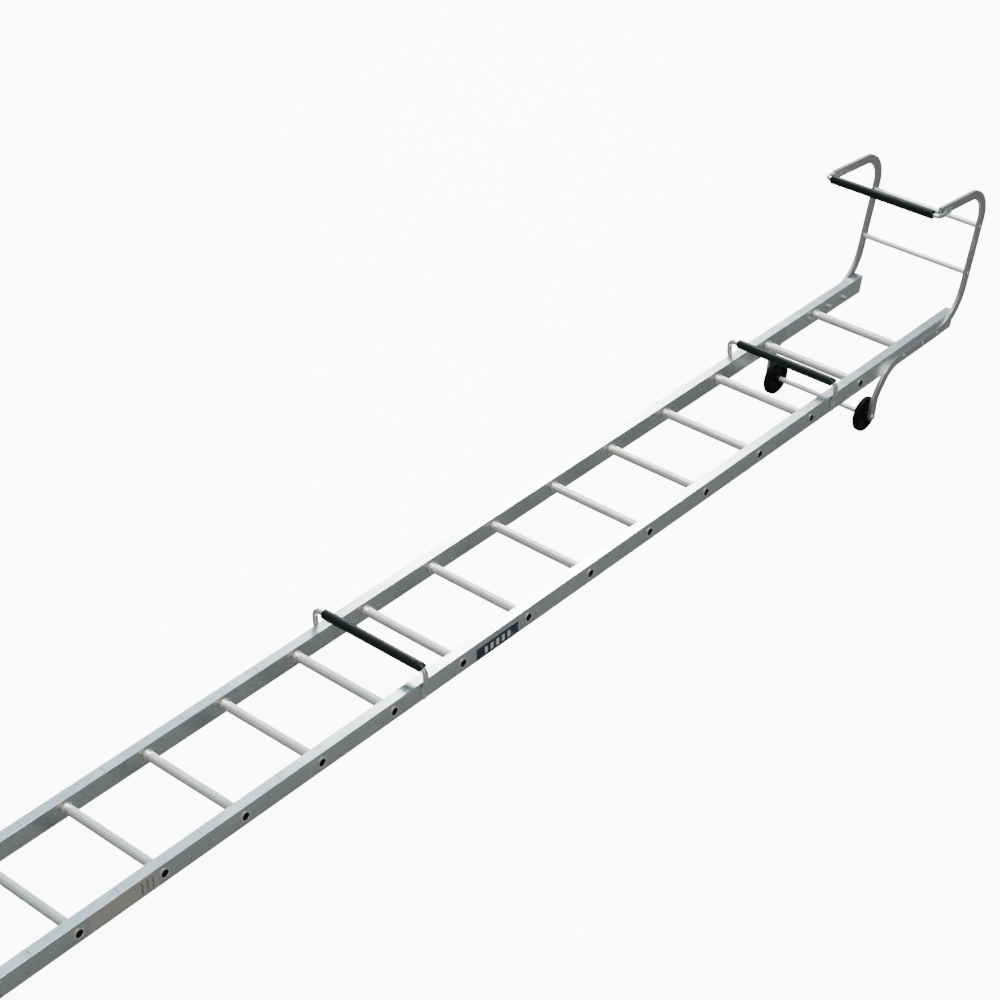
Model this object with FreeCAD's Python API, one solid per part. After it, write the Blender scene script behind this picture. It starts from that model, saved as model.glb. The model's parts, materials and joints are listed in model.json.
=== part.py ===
"""Aluminium roof ladder: one section with a ridge hook, two transport wheels and padded bearing bars.

The ladder lies flat. X runs across it, Y runs along it with the hook at the +Y end, and Z is up, on
the hook's side. Every piece is first built about the top rung: its axis is Y = 0 and the middle of
the stiles' depth is Z = 0. At the end all pieces move together, so that the origin is the middle of
the ladder's footprint at the height of its lowest point. All sizes are in millimetres.
"""
import FreeCAD, Part
import math
import os

V = FreeCAD.Vector

# ---- overall sizes ----
rung_pitch = 254.0            # ten inches from rung to rung
rung_count = 17
width = 370.0                 # over the outer faces of the stiles
top_overhang = 250.0          # stile beyond the top rung
foot_overhang = 196.0         # stile beyond the bottom rung

# ---- stiles: closed box section ----
stile_depth = 56.0
stile_width = 31.0
stile_wall = 2.0
stile_corner = 1.6            # outer corner radius
end_slant = 13.0              # how much longer the top edge is than the bottom edge at the hook end
dimple_radius = 2.6           # setting mark on the top flange, one over each rung
dimple_depth = 0.7

# ---- rungs: ribbed tube, swaged at both webs ----
rung_radius = 12.9
rung_ribs = 22
rib_depth = 0.7
rung_wall = 1.9
neck_radius = rung_radius - 0.5    # plain tube where it passes through the webs
bead_radius = rung_radius + 4.5    # swaged bead against the inner web
bead_length = 4.0
cone_length = 15.0            # from the bead down to the ribbed tube
flare_radius = rung_radius + 2.7   # rolled edge on the outer web
flare_length = 2.2
hole_clearance = 0.1          # every hole is this much larger in radius than what passes through it

# ---- bearing bars: bent tube with flattened ends and a padded sleeve ----
bar_bays = (2, 9, 16)         # each bar stands in the bay below this rung
bar_place = 147.0             # from that rung's axis to the bar's
bar_tube_radius = 7.5
bar_strap_width = 23.0
bar_strap_thickness = 3.0
bar_bend = 19.0               # centreline radius of the two corners
bar_flatten = 20.0            # length over which the round tube becomes a strap
bar_round_gap = 1.0           # the flattening starts this far above the stile's top flange
bar_stand_off = 43.0          # centre of the padded tube above the stiles' top flange
bar_strap_margin = 2.0        # bare web below the strap's end
sleeve_wall = 6.0
sleeve_end_rounding = 2.0
sleeve_end_gap = 1.0          # bare tube between the sleeve's end and the start of the bend
sleeve_slide = 12.0           # the bearing bars' sleeves have slid this far to the right, on to the bend
rivet_radius = 2.4
rivet_head_radius = 4.6
rivet_head_height = 2.0
rivet_spacing = 15.0

# ---- ridge hook: one flat bar each side, bent on edge, that also carries the wheel ----
hook_bar_width = 28.0
hook_bar_thickness = 10.0
hook_bar_drop = 3.0           # centreline below the stiles' mid-depth where it lies on the web
hook_leg_foot = 258.0         # Y where the leaning leg would meet the straight run
hook_leg_lean = 16.2          # degrees from upright, away from the ladder
hook_bend_low = 146.0
hook_top_height = 410.0       # Z of the corner between leg and arm
hook_bend_top = 82.0
hook_arm_rise = 4.9           # degrees, rising towards the tip
hook_tip_reach = 98.0         # Y of the arm's tip
wheel_arm_start = 102.0       # the corner below the top rung where the bar turns down
wheel_arm_angle = 49.0        # degrees below level
wheel_arm_corner = 84.0       # drop from that corner to the next
wheel_arm_bend = 100.0
axle_drop = 146.0             # axle below the straight run
axle_back = 81.0              # axle beyond the first corner
hook_bolt_places = (-31.0, 73.0, 153.0)
hook_bolt_radius = 4.0
hook_bolt_head_radius = 8.0
hook_bolt_head_height = 3.6
hook_nut_width = 13.0         # across flats
hook_nut_height = 6.5
hook_bolt_tail = 3.0          # thread beyond the nut
hook_washer_radius = 8.5
hook_washer_thickness = 1.6

# ---- cross tubes between the two hook legs ----
cross_tube_radius = 8.0
cross_tube_heights = (145.0, 290.0)
cross_spigot_radius = 5.0     # reduced end that passes through the bar and is riveted over
cross_spigot_dome = 1.2

# ---- padded bar at the hook's tip ----
tip_bar_height = 430.0
tip_bar_reach = 78.0
tip_bar_overlap = 62.0        # how far its legs reach along the arms
tip_rivet_spacing = 22.0
tip_leg_round = 24.0          # from the bar's axis to where its legs start to flatten

# ---- wheels ----
wheel_radius = 55.0
wheel_width = 18.0
tyre_depth = 12.0
tyre_shoulder = 4.0
hub_width = 34.0
hub_web = 8.0                 # thickness of the hub's disc
hub_rim = 4.0                 # the hub's rim under the tyre
axle_radius = 5.0
hub_boss_radius = axle_radius + 8.0
axle_running_gap = 0.06       # radial, between the hub's bore and the axle
wheel_end_gap = 0.5           # along the axle, on each side of the hub
spacer_wall = 2.9
axle_washer_radius = axle_radius + 6.0
axle_washer_thickness = 2.0
axle_cap_radius = axle_radius + 4.0
axle_cap_height = 4.0

# ---- plastic ends ----
plug_lip = 2.5                # what shows beyond the cut end of the stile
plug_length = 28.0
plug_clearance = 0.15
foot_wall = 3.0
foot_cover = 46.0             # how far the foot covers the stile
foot_sole = 14.0
foot_corner = 5.0
foot_grooves = 4
groove_depth = 2.5
groove_width = 4.0

# ---- labels on the outer web of the right-hand stile ----
label_thickness = 0.3
maker_label_rung = 8          # the label lies in the bay below this rung
maker_label_near = 25.4       # bare metal between that rung's rolled edge and the label
maker_label_far = 36.4        # bare metal between the label and the next rung's rolled edge
maker_label_height = 36.0
maker_label_margin = 2.0      # bare metal below the label
data_label_rung = 13
data_label_near = 1.4
data_label_far = 17.4
data_label_margin = 1.5       # bare metal above and below the label

# ---- places worked out from the sizes above ----
half_width = width / 2
inner_web = half_width - stile_width
top_end = top_overhang
foot_end = -(rung_count - 1) * rung_pitch - foot_overhang
hook_face = half_width + hook_bar_thickness
axle_y = -wheel_arm_start - axle_back
axle_z = -hook_bar_drop - axle_drop
half_depth = stile_depth / 2
bar_height = half_depth + bar_stand_off
strap_drop = half_depth - bar_strap_margin    # the bars' straps end this far below the mid-depth
sleeve_radius = bar_tube_radius + sleeve_wall
spacer_radius = axle_radius + hole_clearance + spacer_wall
X_AXIS = V(1, 0, 0)
Y_AXIS = V(0, 1, 0)
ORIGIN = V(0, 0, 0)
MARGIN = 5.0                  # how far a cutting tool runs past the surface it opens


def rung_y(number):
    """Y of a rung's axis; rung 1 is the top one."""
    return -(number - 1) * rung_pitch


def cylinder_x(radius, x_from, x_to, y, z):
    """A cylinder along X between two X positions."""
    return Part.makeCylinder(radius, x_to - x_from, V(x_from, y, z), X_AXIS)


def ring_x(outer, inner, x_from, x_to, y, z):
    """A tube along X."""
    return cylinder_x(outer, x_from, x_to, y, z).cut(
        cylinder_x(inner, x_from - MARGIN, x_to + MARGIN, y, z))


def box(x0, x1, y0, y1, z0, z1):
    return Part.makeBox(x1 - x0, y1 - y0, z1 - z0, V(x0, y0, z0))


def rounded_bar(x0, x1, y0, y1, z0, z1, radius):
    """A box along Y with its four long edges rounded."""
    bar = box(x0, x1, y0, y1, z0, z1)
    long_edges = [e for e in bar.Edges if abs(e.tangentAt(e.FirstParameter).y) > 0.99]
    return bar.makeFillet(radius, long_edges)


def turned(profile):
    """Turns a closed outline of (x, radius) points about the X axis."""
    wire = Part.makePolygon([V(x, 0, r) for x, r in profile + profile[:1]])
    return Part.Face(wire).revolve(ORIGIN, X_AXIS, 360)


def mirrored(shape):
    """The same piece on the other side of the ladder."""
    return shape.mirror(ORIGIN, X_AXIS)


def moved(shape, x=0.0, y=0.0, z=0.0):
    copy = shape.copy()
    copy.translate(V(x, y, z))
    return copy


# ---- stiles ----
def hook_bolt_positions():
    return [(y, -hook_bar_drop) for y in hook_bolt_places]


def bar_positions():
    """Y of each padded bearing bar."""
    return [rung_y(bay) - bar_place for bay in bar_bays]


def bar_rivet_heights():
    """Z of the two rivets in a bearing bar's strap."""
    low = -strap_drop + (strap_drop - rivet_spacing) / 2 + rivet_head_radius
    return (low, low + rivet_spacing)


def stile():
    """The right-hand stile, with the holes for the rungs, the hook's bolts and the bars' rivets."""
    body = rounded_bar(inner_web, half_width, foot_end, top_end + end_slant,
                       -half_depth, half_depth, stile_corner)
    hollow = box(inner_web + stile_wall, half_width - stile_wall,
                 foot_end - MARGIN, top_end + end_slant + MARGIN,
                 -half_depth + stile_wall, half_depth - stile_wall)
    body = body.cut(hollow).cut(end_cutter(0.0))
    tools = []
    for number in range(1, rung_count + 1):
        tools.append(cylinder_x(neck_radius + hole_clearance, inner_web - MARGIN,
                                half_width + MARGIN, rung_y(number), 0))
        tools.append(Part.makeCylinder(dimple_radius, dimple_depth + MARGIN,
                                       V(half_width - stile_width / 2, rung_y(number),
                                         half_depth - dimple_depth)))
    for y, z in hook_bolt_positions():
        tools.append(cylinder_x(hook_bolt_radius + hole_clearance, inner_web - MARGIN,
                                half_width + MARGIN, y, z))
    for y in bar_positions():
        for z in bar_rivet_heights():
            tools.append(cylinder_x(rivet_radius + hole_clearance, half_width - stile_wall - MARGIN,
                                    half_width + MARGIN, y, z))
    return body.cut(tools)


def end_cutter(beyond):
    """Everything past the slanted end of a stile; 'beyond' moves the cut outwards along Y."""
    reach = top_end + beyond
    outline = [V(0, reach - end_slant / 2, -half_depth), V(0, reach + end_slant / 2, half_depth)]
    slope = end_slant / stile_depth
    low = V(0, outline[0].y - MARGIN * slope, outline[0].z - MARGIN)
    high = V(0, outline[1].y + MARGIN * slope, outline[1].z + MARGIN)
    far = reach + end_slant + plug_length
    wire = Part.makePolygon([low, high, V(0, far, high.z), V(0, far, low.z), low])
    cutter = Part.Face(wire).extrude(V(stile_width + 2 * MARGIN, 0, 0))
    cutter.translate(V(inner_web - MARGIN, 0, 0))
    return cutter


def top_plug():
    """Plastic plug: a lip flush with the section's outside and a spigot inside it."""
    lip = rounded_bar(inner_web, half_width, top_end - end_slant, top_end + end_slant + plug_lip,
                      -half_depth, half_depth, stile_corner)
    lip = lip.cut(end_cutter(plug_lip))
    lip = lip.common(end_cutter(0.0))
    inset = stile_wall + plug_clearance
    spigot = box(inner_web + inset, half_width - inset, top_end - plug_length, top_end + end_slant,
                 -half_depth + inset, half_depth - inset)
    spigot = spigot.cut(end_cutter(plug_lip / 2))
    return lip.fuse(spigot).removeSplitter()


def foot():
    """Rubber foot: a cap over the end of the stile with a grooved sole."""
    back = foot_end - foot_sole
    cap = rounded_bar(inner_web - foot_wall, half_width + foot_wall, back, foot_end + foot_cover,
                      -half_depth - foot_wall, half_depth + foot_wall, foot_corner)
    socket = rounded_bar(inner_web, half_width, foot_end, foot_end + foot_cover + MARGIN,
                         -half_depth, half_depth, stile_corner)
    cap = cap.cut(socket)
    pitch = (stile_depth + 2 * foot_wall) / (foot_grooves + 1)
    grooves = []
    for index in range(foot_grooves):
        z = -half_depth - foot_wall + (index + 1) * pitch
        grooves.append(box(inner_web - foot_wall - MARGIN, half_width + foot_wall + MARGIN,
                           back - MARGIN, back + groove_depth, z - groove_width / 2,
                           z + groove_width / 2))
    return cap.cut(grooves)


# ---- rungs ----
def ribbed_bar(x_from, x_to):
    """A solid bar along X whose outside has fine round-topped ribs."""
    step = 2 * math.pi / rung_ribs
    root = rung_radius - rib_depth
    edges = []
    for index in range(rung_ribs):
        angle = index * step
        points = []
        for share, radius in ((0.0, root), (0.5, rung_radius), (1.0, root)):
            a = angle + share * step
            points.append(V(x_from, radius * math.cos(a), radius * math.sin(a)))
        edges.append(Part.Arc(*points).toShape())
    return Part.Face(Part.Wire(edges)).extrude(V(x_to - x_from, 0, 0))


def rung(outer_flare):
    """One rung, about the X axis. The top rung has no rolled flare, because the hook bar covers it."""
    bead_end = inner_web - bead_length
    cone_end = bead_end - cone_length
    outer_end = half_width + (flare_length if outer_flare else 0.0)
    edge_radius = flare_radius if outer_flare else neck_radius
    root = rung_radius - rib_depth
    rounding = flare_length / 3
    end = [(cone_end - MARGIN, 0), (cone_end - MARGIN, root), (cone_end, root + rib_depth / 2),
           (bead_end - 1.0, bead_radius - 3.0), (bead_end, bead_radius - 0.8),
           (bead_end + 1.0, bead_radius), (inner_web - 0.8, bead_radius), (inner_web, bead_radius - 0.8),
           (inner_web, neck_radius), (half_width, neck_radius)]
    if outer_flare:
        end += [(half_width, edge_radius - rounding), (half_width + rounding, edge_radius),
                (outer_end - rounding, edge_radius), (outer_end, edge_radius - 2 * rounding)]
    else:
        end += [(outer_end, edge_radius)]
    end += [(outer_end, 0)]
    right = turned(end)
    bar = ribbed_bar(-cone_end, cone_end).fuse([right, mirrored(right)])
    bore = cylinder_x(neck_radius - rung_wall, -outer_end - MARGIN, outer_end + MARGIN, 0, 0)
    return bar.cut(bore)


# ---- padded bearing bars ----
def strap_outline(x, z):
    """Rounded strap section in the XY plane: flat against the face at X = 0 on its inner side."""
    half_t = bar_strap_thickness / 2
    half_w = bar_strap_width / 2 - half_t
    inner = x - half_t
    outer = x + half_t
    return Part.Wire([
        Part.makeLine(V(inner, half_w, z), V(inner, -half_w, z)),
        Part.Arc(V(inner, -half_w, z), V(x, -half_w - half_t, z), V(outer, -half_w, z)).toShape(),
        Part.makeLine(V(outer, -half_w, z), V(outer, half_w, z)),
        Part.Arc(V(outer, half_w, z), V(x, half_w + half_t, z), V(inner, half_w, z)).toShape()])


def round_outline(x, z):
    """The round tube's section, cut into four arcs that match the strap's four sides."""
    r = bar_tube_radius
    side = r * math.cos(math.radians(45))
    corners = [V(x - side, side, z), V(x - side, -side, z), V(x + side, -side, z), V(x + side, side, z)]
    middles = [V(x - r, 0, z), V(x, -r, z), V(x + r, 0, z), V(x, r, z)]
    arcs = []
    for index in range(4):
        start = corners[index]
        finish = corners[(index + 1) % 4]
        arcs.append(Part.Arc(start, middles[index], finish).toShape())
    return Part.Wire(arcs)


def bent_tube(face_x, rise, strap_length, strap_from):
    """A U-shaped tube in the XZ plane. Its padded run is at Z = 0 and its legs hang down.

    face_x is the face that the straps lie on, rise is the height of the run above the top of the
    flattened part, strap_from is where the round section is complete, as a distance below the run.
    """
    leg_x = face_x + bar_tube_radius
    strap_x = face_x + bar_strap_thickness / 2
    run = 2 * (leg_x - bar_bend)
    section = Part.Wire(Part.makeCircle(bar_tube_radius, V(-run / 2, 0, 0), X_AXIS))
    pieces = [Part.Face(section).extrude(V(run, 0, 0))]
    centre = V(leg_x - bar_bend, 0, -bar_bend)
    disc = Part.Face(Part.Wire(Part.makeCircle(bar_tube_radius, V(leg_x - bar_bend, 0, 0), X_AXIS)))
    corner = disc.revolve(centre, Y_AXIS, 90)
    leg = Part.makeCylinder(bar_tube_radius, strap_from - bar_bend, V(leg_x, 0, -strap_from))
    taper = Part.makeLoft([round_outline(leg_x, -strap_from), strap_outline(strap_x, -rise)], True, True)
    strap = Part.Face(strap_outline(strap_x, -rise)).extrude(V(0, 0, -strap_length))
    end_round = bar_strap_width / 2
    square = box(strap_x - MARGIN, strap_x + MARGIN, -end_round, end_round,
                 -rise - strap_length, -rise - strap_length + end_round)
    tip = cylinder_x(end_round, strap_x - 2 * MARGIN, strap_x + 2 * MARGIN, 0,
                     -rise - strap_length + end_round)
    strap = strap.cut(square.cut(tip))
    side = [corner, leg, taper, strap]
    pieces += side
    pieces += [mirrored(piece) for piece in side]
    return pieces[0].fuse(pieces[1:]).removeSplitter()


def sleeve(face_x):
    """The soft sleeve on the padded run, its ends slightly rounded."""
    half_run = face_x + bar_tube_radius - bar_bend - sleeve_end_gap
    shoulder = sleeve_radius - sleeve_end_rounding
    profile = [(-half_run, bar_tube_radius), (half_run, bar_tube_radius),
               (half_run, shoulder), (half_run - sleeve_end_rounding, sleeve_radius),
               (-half_run + sleeve_end_rounding, sleeve_radius), (-half_run, shoulder)]
    return turned(profile)


def slid_sleeve(face_x):
    """A sleeve of the same length that has slid towards +X and follows the tube on to the bend."""
    corner = face_x + bar_tube_radius - bar_bend
    start = sleeve_end_gap + sleeve_slide - corner
    straight = turned([(start, bar_tube_radius), (corner, bar_tube_radius), (corner, sleeve_radius),
                       (start + sleeve_end_rounding, sleeve_radius),
                       (start, sleeve_radius - sleeve_end_rounding)])
    disc = Part.Face(Part.Wire(Part.makeCircle(sleeve_radius, V(corner, 0, 0), X_AXIS)))
    hole = Part.Face(Part.Wire(Part.makeCircle(bar_tube_radius, V(corner, 0, 0), X_AXIS)))
    turn = math.degrees((sleeve_slide - sleeve_end_gap) / bar_bend)
    bent = disc.cut(hole).revolve(V(corner, 0, -bar_bend), Y_AXIS, turn)
    return straight.fuse(bent).removeSplitter()


def domed_head(radius, height):
    """A shallow dome that stands on the plane X = 0 and rises towards +X."""
    ball = Part.makeSphere(radius, ORIGIN)
    half = ball.common(box(0, radius, -radius, radius, -radius, radius))
    flatten = FreeCAD.Matrix()
    flatten.scale(V(height / radius, 1, 1))
    return half.transformGeometry(flatten)


def rivet(x_face, x_back, y, z):
    """A domed rivet on the right-hand side: head on x_face, tail closed behind x_back."""
    head = moved(domed_head(rivet_head_radius, rivet_head_height), x_face, y, z)
    shank = cylinder_x(rivet_radius, x_back, x_face, y, z)
    tail = cylinder_x(rivet_radius * 1.5, x_back - rivet_radius / 2, x_back, y, z)
    return shank.fuse([head, tail])


# ---- ridge hook ----
def direction(degrees):
    """Unit vector in the YZ plane, measured from +Y towards +Z."""
    a = math.radians(degrees)
    return V(0, math.cos(a), math.sin(a))


def hook_corners():
    """Corners of the bar's centreline, from the wheel's axle to the tip of the arm, with bend radii."""
    level = -hook_bar_drop
    lean = math.tan(math.radians(hook_leg_lean))
    axle = V(0, axle_y, axle_z)
    first = V(0, -wheel_arm_start, level)
    second = V(0, first.y - wheel_arm_corner / math.tan(math.radians(wheel_arm_angle)),
               level - wheel_arm_corner)
    low = V(0, hook_leg_foot, level)
    top = V(0, hook_leg_foot + lean * (hook_top_height - level), hook_top_height)
    arm = top.y - hook_tip_reach
    tip = V(0, hook_tip_reach, hook_top_height + arm * math.tan(math.radians(hook_arm_rise)))
    return [(axle, 0), (second, wheel_arm_bend), (first, wheel_arm_bend),
            (low, hook_bend_low), (top, hook_bend_top), (tip, 0)]


def offset_edges(corners, shift):
    """Lines and tangent arcs of the centreline, moved sideways by shift (to the left of travel)."""
    edges = []
    ways = []
    for (here, _), (there, _) in zip(corners, corners[1:]):
        ways.append((there - here).normalize())
    sides = [V(0, -way.z, way.y) for way in ways]
    start = corners[0][0] + sides[0] * shift
    for index in range(1, len(corners) - 1):
        point, radius = corners[index]
        way_in = ways[index - 1]
        way_out = ways[index]
        turn = way_in.getAngle(way_out)
        left = way_in.y * way_out.z - way_in.z * way_out.y > 0
        reach = radius * math.tan(turn / 2)
        begin = point - way_in * reach
        centre = begin + sides[index - 1] * (radius if left else -radius)
        arc_radius = radius - shift if left else radius + shift
        sign = -1.0 if left else 1.0
        arc_start = centre + sides[index - 1] * (sign * arc_radius)
        arc_end = centre + sides[index] * (sign * arc_radius)
        middle_side = (sides[index - 1] + sides[index]).normalize()
        arc_middle = centre + middle_side * (sign * arc_radius)
        edges.append(Part.makeLine(start, arc_start))
        edges.append(Part.Arc(arc_start, arc_middle, arc_end).toShape())
        start = arc_end
    finish = corners[-1][0] + sides[-1] * shift
    edges.append(Part.makeLine(start, finish))
    return edges


def hook_bar():
    """The right-hand hook bar: a flat bar bent on edge, round at the axle and square at the tip."""
    corners = hook_corners()
    half = hook_bar_width / 2
    left = offset_edges(corners, half)
    right = offset_edges(corners, -half)
    tip_line = Part.makeLine(left[-1].Vertexes[-1].Point, right[-1].Vertexes[-1].Point)
    axle = corners[0][0]
    way = (corners[1][0] - axle).normalize()
    nose = Part.Arc(right[0].Vertexes[0].Point, axle - way * half, left[0].Vertexes[0].Point).toShape()
    outline = Part.Wire(left + [tip_line] + right[::-1] + [nose])
    bar = Part.Face(outline).extrude(V(hook_bar_thickness, 0, 0))
    bar.translate(V(half_width, 0, 0))
    tools = [cylinder_x(axle_radius + hole_clearance, half_width - MARGIN, hook_face + MARGIN,
                        axle_y, axle_z)]
    for y, z in hook_bolt_positions():
        tools.append(cylinder_x(hook_bolt_radius + hole_clearance, half_width - MARGIN,
                                hook_face + MARGIN, y, z))
    for z in cross_tube_heights:
        tools.append(cylinder_x(cross_spigot_radius + hole_clearance, half_width - MARGIN,
                                hook_face + MARGIN, hook_leg_y(z), z))
    for y, z in tip_rivet_places():
        tools.append(cylinder_x(rivet_radius + hole_clearance, half_width - MARGIN,
                                hook_face + MARGIN, y, z))
    return bar.cut(tools)


def hook_leg_y(z):
    """Y of the leg's centreline at a height."""
    return hook_leg_foot + math.tan(math.radians(hook_leg_lean)) * (z + hook_bar_drop)


def tip_leg_length():
    """Length of the tip bar's legs, which run parallel to the arms."""
    return hook_tip_reach + tip_bar_overlap - tip_bar_reach


def tip_rivet_places():
    """(y, z) of the two rivets in the tip bar's strap."""
    way = direction(-hook_arm_rise)
    last = tip_leg_length() - bar_strap_width / 2
    places = []
    for along in (last, last - tip_rivet_spacing):
        places.append((tip_bar_reach + way.y * along, tip_bar_height + way.z * along))
    return places


def cross_tube(z):
    """A stay between the legs: a tube with a spigot at each end, riveted over outside the bar."""
    y = hook_leg_y(z)
    body = cylinder_x(cross_tube_radius, -half_width, half_width, y, z)
    spigot = cylinder_x(cross_spigot_radius, -hook_face, hook_face, y, z)
    dome = cylinder_x(cross_spigot_radius + cross_spigot_dome, hook_face,
                      hook_face + cross_spigot_dome, y, z)
    return body.fuse([spigot, dome, mirrored(dome)])


def hook_bolt(y, z):
    """A cup-headed bolt through the hook bar and both webs of the stile."""
    tail = inner_web - hook_washer_thickness - hook_nut_height - hook_bolt_tail
    head = moved(domed_head(hook_bolt_head_radius, hook_bolt_head_height), hook_face, y, z)
    return cylinder_x(hook_bolt_radius, tail, hook_face, y, z).fuse(head)


def hook_nut(y, z):
    """Hexagon nut and washer on the inner web."""
    washer_face = inner_web - hook_washer_thickness
    washer = cylinder_x(hook_washer_radius, washer_face, inner_web, y, z)
    corner = hook_nut_width / 2 / math.cos(math.radians(30))
    points = []
    for index in range(7):
        angle = math.radians(60 * index)
        points.append(V(washer_face, y + corner * math.cos(angle), z + corner * math.sin(angle)))
    nut = Part.Face(Part.makePolygon(points)).extrude(V(-hook_nut_height, 0, 0))
    rounding = Part.makeCone(corner + hook_nut_height / 2, corner - hook_nut_height / 10,
                             hook_nut_height, V(washer_face, y, z), V(-1, 0, 0))
    hole = cylinder_x(hook_bolt_radius, washer_face - 2 * MARGIN, inner_web + MARGIN, y, z)
    return washer.fuse(nut.common(rounding)).cut(hole)


# ---- wheels ----
def wheel_middle():
    """X of the middle of the right-hand wheel: inside the hook bar, with a washer between."""
    return half_width - axle_washer_thickness - wheel_end_gap - hub_width / 2


def tyre():
    """Solid rubber tyre with rounded shoulders, about the X axis."""
    half = wheel_width / 2
    inner = wheel_radius - tyre_depth
    s = tyre_shoulder
    edges = [Part.makeLine(V(-half, 0, inner), V(-half, 0, wheel_radius - s)),
             Part.Arc(V(-half, 0, wheel_radius - s),
                      V(-half + s * (1 - math.sqrt(0.5)), 0, wheel_radius - s * (1 - math.sqrt(0.5))),
                      V(-half + s, 0, wheel_radius)).toShape(),
             Part.makeLine(V(-half + s, 0, wheel_radius), V(half - s, 0, wheel_radius)),
             Part.Arc(V(half - s, 0, wheel_radius),
                      V(half - s * (1 - math.sqrt(0.5)), 0, wheel_radius - s * (1 - math.sqrt(0.5))),
                      V(half, 0, wheel_radius - s)).toShape(),
             Part.makeLine(V(half, 0, wheel_radius - s), V(half, 0, inner)),
             Part.makeLine(V(half, 0, inner), V(-half, 0, inner))]
    return Part.Face(Part.Wire(edges)).revolve(ORIGIN, X_AXIS, 360)


def hub():
    """Plastic hub: boss, disc and rim, bored to run on the axle."""
    seat = wheel_radius - tyre_depth
    half_boss = hub_width / 2
    half_rim = wheel_width / 2
    half_web = hub_web / 2
    bore = axle_radius + axle_running_gap
    right = [(half_boss, bore), (half_boss, hub_boss_radius - 1.0), (half_boss - 1.0, hub_boss_radius),
             (half_web, hub_boss_radius + 1.5), (half_web, seat - hub_rim - 1.0),
             (half_rim, seat - hub_rim), (half_rim, seat)]
    left = [(-x, r) for x, r in reversed(right)]
    return turned(right + left)


def axle():
    """The axle rod through both hook bars, with a domed cap on each end."""
    rod = cylinder_x(axle_radius, -hook_face - 1.0, hook_face + 1.0, 0, 0)
    return moved(rod, 0, axle_y, axle_z)


def axle_cap():
    """Pressed-on domed cap that holds the axle."""
    cap = cylinder_x(axle_cap_radius, hook_face, hook_face + axle_cap_height, 0, 0)
    rim = [e for e in cap.Edges if abs(e.CenterOfMass.x - hook_face - axle_cap_height) < 0.01]
    cap = cap.makeFillet(axle_cap_height * 0.6, rim)
    socket = cylinder_x(axle_radius, hook_face - MARGIN, hook_face + 1.0, 0, 0)
    return moved(cap.cut(socket), 0, axle_y, axle_z)


def axle_washer():
    washer = ring_x(axle_washer_radius, axle_radius + hole_clearance,
                    half_width - axle_washer_thickness, half_width, 0, 0)
    return moved(washer, 0, axle_y, axle_z)


def spacer():
    """Tube round the axle that keeps the wheels apart."""
    end = wheel_middle() - hub_width / 2 - wheel_end_gap
    return moved(ring_x(spacer_radius, axle_radius + hole_clearance, -end, end, 0, 0),
                 0, axle_y, axle_z)


# ---- labels ----
def label(above_rung, near, far, z_low, z_high):
    """A thin plate on the outer web, in the bay below a rung."""
    y_high = rung_y(above_rung) - flare_radius - near
    y_low = rung_y(above_rung + 1) + flare_radius + far
    return box(half_width, half_width + label_thickness, y_low, y_high, z_low, z_high)


# ---- assembly ----
def add_pair(parts, name, right):
    """Adds a right-hand piece and its mirror image."""
    parts[name + "_right"] = right
    parts[name + "_left"] = mirrored(right)


def add_ladder(parts):
    """Stiles, rungs, end plugs, feet and labels."""
    add_pair(parts, "stile", stile())
    parts["rung_01"] = rung(False)
    plain_rung = rung(True)
    for number in range(2, rung_count + 1):
        parts["rung_%02d" % number] = moved(plain_rung, 0, rung_y(number))
    add_pair(parts, "end_plug", top_plug())
    add_pair(parts, "foot", foot())
    maker_low = -half_depth + maker_label_margin
    parts["maker_label"] = label(maker_label_rung, maker_label_near, maker_label_far,
                                 maker_low, maker_low + maker_label_height)
    data_reach = half_depth - data_label_margin
    parts["data_label"] = label(data_label_rung, data_label_near, data_label_far,
                                -data_reach, data_reach)


def riveted(tube, face, back, places):
    """Drills a bent tube at the given (y, z) places; returns it and the rivets of both sides."""
    rivets = []
    for y, z in places:
        right_rivet = rivet(face, back, y, z)
        rivets += [right_rivet, mirrored(right_rivet)]
        tube = tube.cut(cylinder_x(rivet_radius + hole_clearance, -face - MARGIN, face + MARGIN, y, z))
    return tube, Part.makeCompound(rivets)


def add_bearing_bars(parts):
    """The padded bars that keep the ladder off the roof covering."""
    # The tube is fully round just above the stile's top flange; below that it is pressed flat.
    round_until = bar_stand_off - bar_round_gap
    flat_from = round_until + bar_flatten
    tube = bent_tube(half_width, flat_from, bar_height + strap_drop - flat_from, round_until)
    pad = slid_sleeve(half_width)
    for index, y in enumerate(bar_positions(), 1):
        places = [(y, z) for z in bar_rivet_heights()]
        bar, rivets = riveted(moved(tube, 0, y, bar_height), half_width + bar_strap_thickness,
                              half_width - stile_wall, places)
        parts["bearing_bar_%d" % index] = bar
        parts["bearing_rivets_%d" % index] = rivets
        parts["bearing_sleeve_%d" % index] = moved(pad, 0, y, bar_height)


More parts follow.
